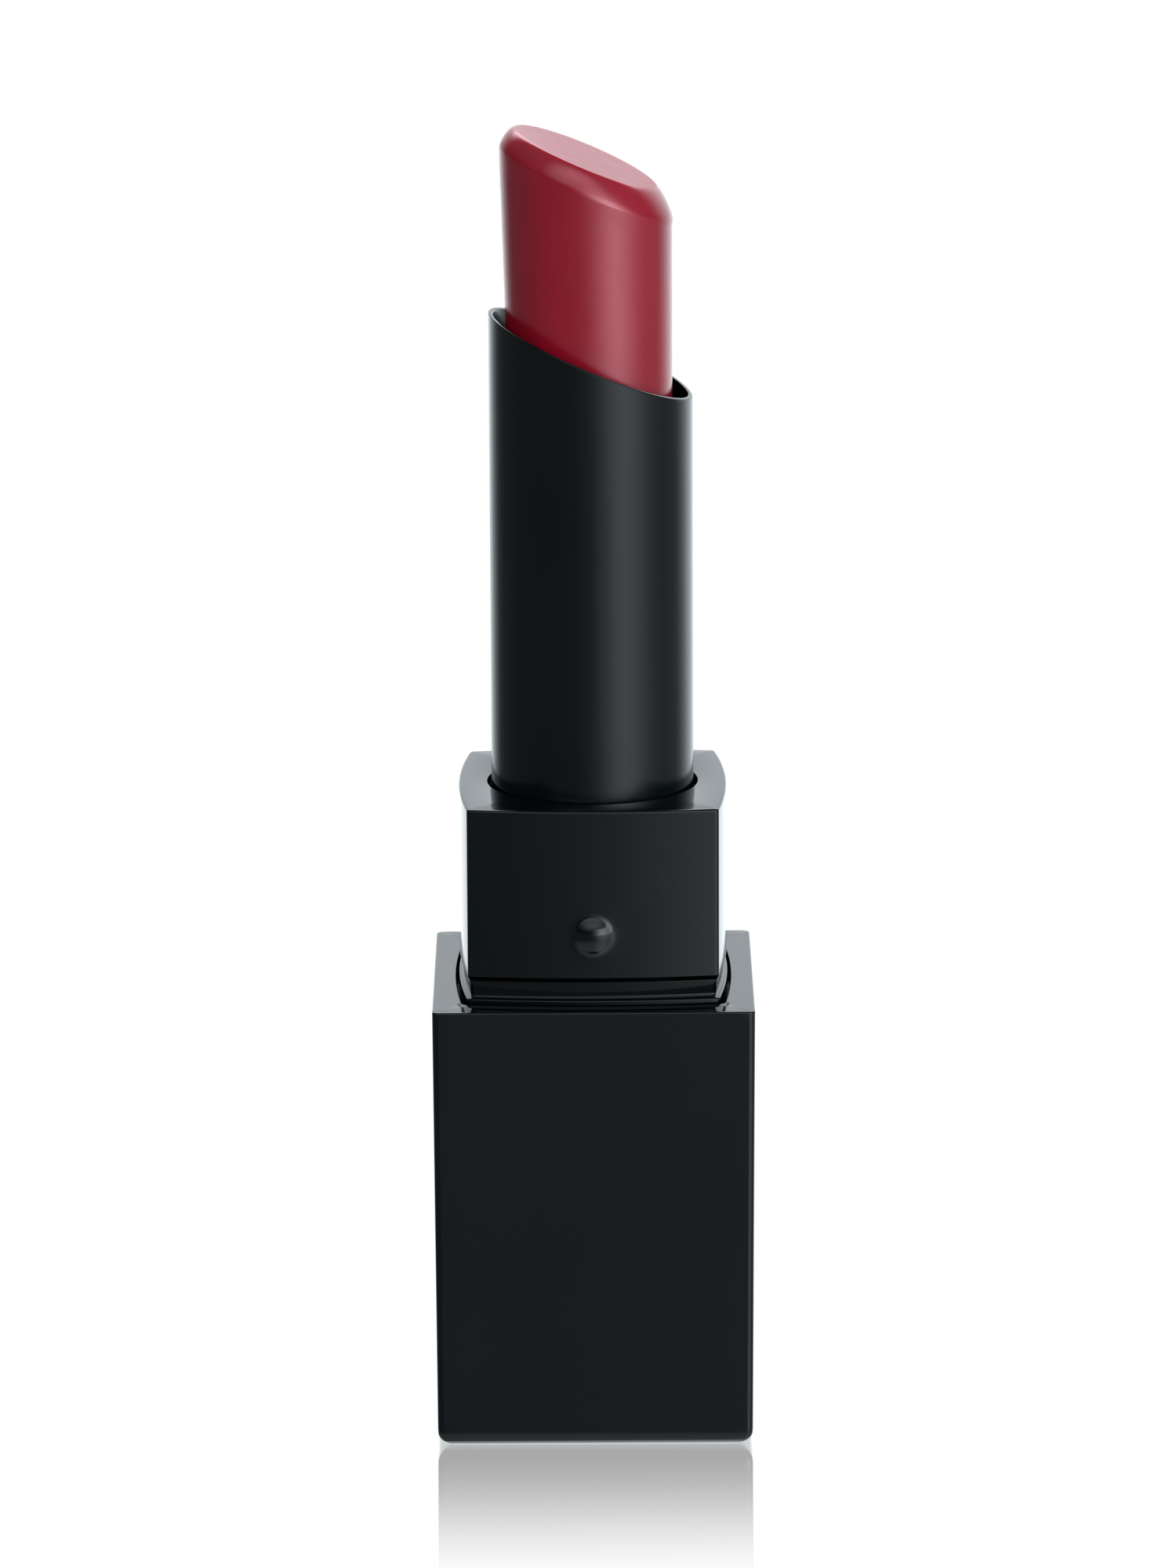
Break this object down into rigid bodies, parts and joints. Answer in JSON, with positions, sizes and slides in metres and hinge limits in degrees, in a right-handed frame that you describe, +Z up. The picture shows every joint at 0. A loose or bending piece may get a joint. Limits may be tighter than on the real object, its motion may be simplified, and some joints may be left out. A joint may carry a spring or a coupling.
{
  "type": "lipstick case",
  "caption": "Square black twist-up lipstick case with a pillow-shaped collar, a slanted round tube and a raised bevelled rose-red bullet.",
  "frame": {"origin": "centre of the base's foot, on the surface that it stands on", "axes": "+Z up along the turning axis, front face with the snap pip looks along -Y, the tube's low side is at +X"},
  "size_m": [0.0206, 0.0206, 0.0842],
  "materials": {
    "satin_black": "satin black lacquer over moulded plastic",
    "collar_black": "smooth satin black",
    "tube_black": "satin black anodised tube",
    "gloss_black": "gloss black moulding",
    "moulded_grey": "moulded acetal",
    "moulded_white": "moulded polypropylene",
    "moulded_black": "black moulded polypropylene",
    "slip_plastic": "natural slip film",
    "soft_rubber": "soft black elastomer",
    "spring_steel": "tempered spring steel",
    "weight_steel": "tumbled zinc-plated steel",
    "foam": "closed-cell foam",
    "label_film": "blank satin film",
    "rose_wax": "satin rose-red cosmetic wax"
  },
  "bodies": {
    "base": {"base_shell": "satin_black", "shade_label": "label_film", "weight_pad": "foam", "base_weight": "weight_steel", "base_core": "gloss_black", "thrust_washer": "slip_plastic", "helix_sleeve": "moulded_grey", "friction_ring": "soft_rubber"},
    "barrel": {"collar_shell": "collar_black", "turn_body": "moulded_grey", "slant_tube": "tube_black", "guide_tube": "moulded_white", "retaining_clip": "spring_steel"},
    "carrier": {"bullet_cup": "moulded_black", "lipstick_bullet": "rose_wax"}
  },
  "joints": [
    {"name": "base_twist", "type": "hinge", "parent": "base", "child": "barrel", "pos_m": [0, 0, 0], "axis": [0, 0, 1], "range_deg": [-450, 0]},
    {"name": "bullet_lift", "type": "slide", "parent": "barrel", "child": "carrier", "axis": [0, 0, 1], "range_m": [-0.0144, 0]}
  ],
  "couplings": [
    {"joint": "bullet_lift", "follows": "base_twist", "m_per_rad": 0.0018335}
  ]
}
